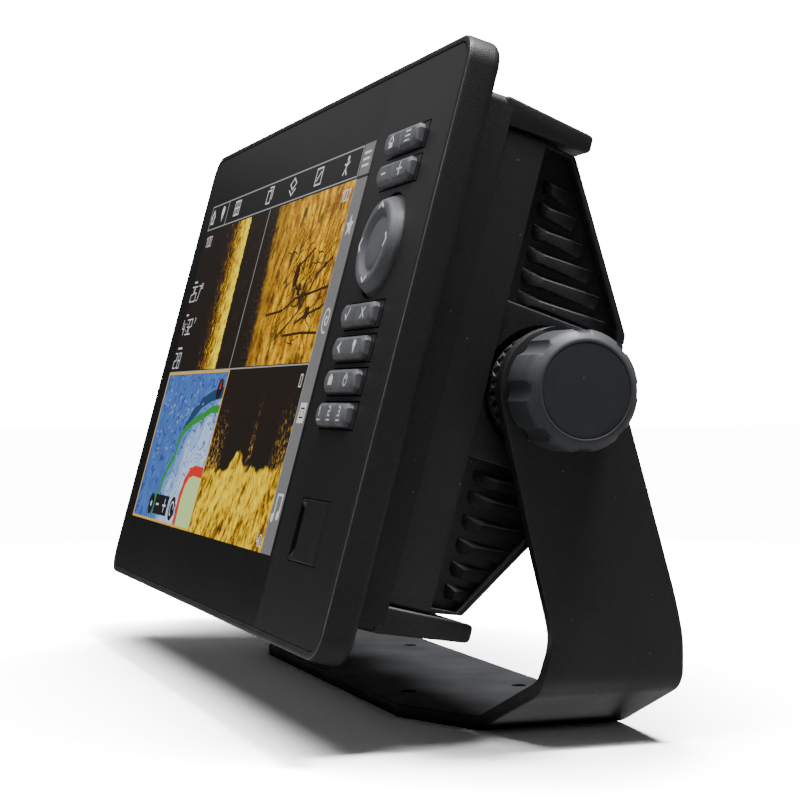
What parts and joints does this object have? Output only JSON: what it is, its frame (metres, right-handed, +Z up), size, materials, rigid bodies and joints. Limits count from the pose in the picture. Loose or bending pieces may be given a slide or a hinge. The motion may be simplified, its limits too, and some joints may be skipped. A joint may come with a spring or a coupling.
{
  "type": "chartplotter display",
  "caption": "Marine chartplotter: a flat display with side keypad and card door, on a U-shaped gimbal bracket with two clamp knobs; it tilts.",
  "frame": {"origin": "centre of the bracket base's four-hole pattern, on the base's underside", "axes": "+X to the user's right, -Y towards the user (the screen faces -Y), +Z up out of the base"},
  "size_m": [0.3344, 0.1147, 0.2068],
  "materials": {
    "bracket_coat": "fine textured powder coat, satin",
    "ring_metal": "cast, tumbled",
    "knob_plastic": "moulded, fine grain",
    "knob_cap_plastic": "moulded, smooth matt",
    "steel": "plain",
    "nylon": "natural nylon",
    "brass": "turned",
    "bezel_plastic": "moulded, fine spark-eroded grain",
    "front_gloss": "semi-gloss front sheet",
    "lens_glass": "coated lens",
    "adhesive": "foam tape",
    "screen": "liquid crystal cell",
    "light_guide": "acrylic light guide",
    "key_rubber": "silicone keycap, matt",
    "silicone": "silicone",
    "board_green": "solder mask",
    "inner_plastic": "moulded",
    "case_metal": "textured black paint on die casting",
    "spreader_metal": "sheet",
    "socket_plastic": "moulded",
    "ceramic_patch": "fired ceramic",
    "copper_coil": "enamelled winding"
  },
  "bodies": {
    "bracket": {"gimbal_bracket": "bracket_coat", "bracket_ratchet_right": "ring_metal", "bracket_ratchet_left": "ring_metal"},
    "display_head": {"head_ratchet_right": "ring_metal", "head_ratchet_left": "ring_metal", "case_screws": "steel", "board_screws": "steel", "card_door_pin": "steel", "lcd_tray": "steel", "shield_can": "steel", "key_domes": "steel", "pivot_insert_right": "brass", "pivot_insert_left": "brass", "board_standoffs": "brass", "socket_pins": "brass", "front_bezel": "bezel_plastic", "keypad_fascia": "front_gloss", "front_lens": "lens_glass", "lens_adhesive": "adhesive", "processor_heat_pad": "adhesive", "lcd_panel": "screen", "lcd_backlight": "light_guide", "key_sheet": "silicone", "case_gasket": "silicone", "card_door_seal": "silicone", "keypad_board": "board_green", "main_board": "board_green", "sonar_board": "board_green", "power_board": "board_green", "card_bay": "inner_plastic", "card_reader": "inner_plastic", "buzzer": "inner_plastic", "board_chips": "inner_plastic", "ribbon_cables": "inner_plastic", "rear_case": "case_metal", "heat_spreader": "spreader_metal", "power_capacitors": "spreader_metal", "power_socket": "socket_plastic", "sonar_socket": "socket_plastic", "network_socket": "socket_plastic", "vent_plug": "socket_plastic", "gps_antenna": "ceramic_patch", "sonar_coils": "copper_coil"},
    "knob_right": {"knob_right": "knob_plastic", "knob_cap_right": "knob_cap_plastic", "knob_stud_right": "steel"},
    "knob_left": {"knob_left": "knob_plastic", "knob_cap_left": "knob_cap_plastic", "knob_stud_left": "steel"},
    "clamp_washer_right": {"knob_washer_right": "nylon"},
    "clamp_washer_left": {"knob_washer_left": "nylon"},
    "home_menu_key": {"home_menu_key": "key_rubber"},
    "zoom_key": {"zoom_key": "key_rubber"},
    "enter_exit_key": {"enter_exit_key": "key_rubber"},
    "goto_mark_key": {"goto_mark_key": "key_rubber"},
    "camera_power_key": {"camera_power_key": "key_rubber"},
    "preset_key": {"preset_key": "key_rubber"},
    "pad_swivel": {"pad_swivel": "inner_plastic"},
    "direction_pad": {"direction_pad": "key_rubber"},
    "card_door": {"card_door": "bezel_plastic"}
  },
  "joints": [
    {"name": "head_tilt", "type": "hinge", "parent": "bracket", "child": "display_head", "pos_m": [0, -0.007, 0.1045], "axis": [1, 0, 0], "range_deg": [-30, 20]},
    {"name": "knob_back_off_right", "type": "slide", "parent": "display_head", "child": "clamp_washer_right", "axis": [1, 0, 0], "range_m": [0, 0.003]},
    {"name": "knob_turn_right", "type": "hinge", "parent": "clamp_washer_right", "child": "knob_right", "pos_m": [0.15, -0.007, 0.1045], "axis": [1, 0, 0], "range_deg": [0, 720]},
    {"name": "knob_back_off_left", "type": "slide", "parent": "display_head", "child": "clamp_washer_left", "axis": [-1, 0, 0], "range_m": [0, 0.003]},
    {"name": "knob_turn_left", "type": "hinge", "parent": "clamp_washer_left", "child": "knob_left", "pos_m": [-0.15, -0.007, 0.1045], "axis": [-1, 0, 0], "range_deg": [0, 720]},
    {"name": "home_menu_key_rock", "type": "hinge", "parent": "display_head", "child": "home_menu_key", "pos_m": [0.1154, -0.04081, 0.17961], "axis": [0, 0.2588, 0.9659], "range_deg": [-2.5, 2.5], "stiffness_Nm_per_rad": 0.7},
    {"name": "zoom_key_rock", "type": "hinge", "parent": "display_head", "child": "zoom_key", "pos_m": [0.1154, -0.04345, 0.16976], "axis": [0, 0.2588, 0.9659], "range_deg": [-2.5, 2.5], "stiffness_Nm_per_rad": 0.7},
    {"name": "enter_exit_key_rock", "type": "hinge", "parent": "display_head", "child": "enter_exit_key", "pos_m": [0.1154, -0.05494, 0.12687], "axis": [0, 0.2588, 0.9659], "range_deg": [-2.5, 2.5], "stiffness_Nm_per_rad": 0.7},
    {"name": "goto_mark_key_rock", "type": "hinge", "parent": "display_head", "child": "goto_mark_key", "pos_m": [0.1154, -0.05761, 0.11692], "axis": [0, 0.2588, 0.9659], "range_deg": [-2.5, 2.5], "stiffness_Nm_per_rad": 0.7},
    {"name": "camera_power_key_rock", "type": "hinge", "parent": "display_head", "child": "camera_power_key", "pos_m": [0.1154, -0.06025, 0.10707], "axis": [0, 0.2588, 0.9659], "range_deg": [-2.5, 2.5], "stiffness_Nm_per_rad": 0.7},
    {"name": "preset_key_rock", "type": "hinge", "parent": "display_head", "child": "preset_key", "pos_m": [0.1154, -0.06291, 0.09712], "axis": [0, 0.2588, 0.9659], "range_deg": [-2.5, 2.5], "stiffness_Nm_per_rad": 0.7},
    {"name": "pad_tilt_up_down", "type": "hinge", "parent": "display_head", "child": "pad_swivel", "pos_m": [0.1154, -0.0492, 0.1479], "axis": [1, 0, 0], "range_deg": [-3, 3], "stiffness_Nm_per_rad": 0.8},
    {"name": "pad_tilt_left_right", "type": "hinge", "parent": "pad_swivel", "child": "direction_pad", "pos_m": [0.1154, -0.0492, 0.1479], "axis": [0, 0.2588, 0.9659], "range_deg": [-3, 3], "stiffness_Nm_per_rad": 0.8},
    {"name": "card_door_swing", "type": "hinge", "parent": "display_head", "child": "card_door", "pos_m": [0.1276, -0.07155, 0.06278], "axis": [0, 0.2588, 0.9659], "range_deg": [0, 95]}
  ],
  "couplings": [
    {"joint": "knob_turn_right", "follows": "knob_back_off_right", "rad_per_m": 4188.8},
    {"joint": "knob_turn_left", "follows": "knob_back_off_left", "rad_per_m": 4188.8}
  ]
}
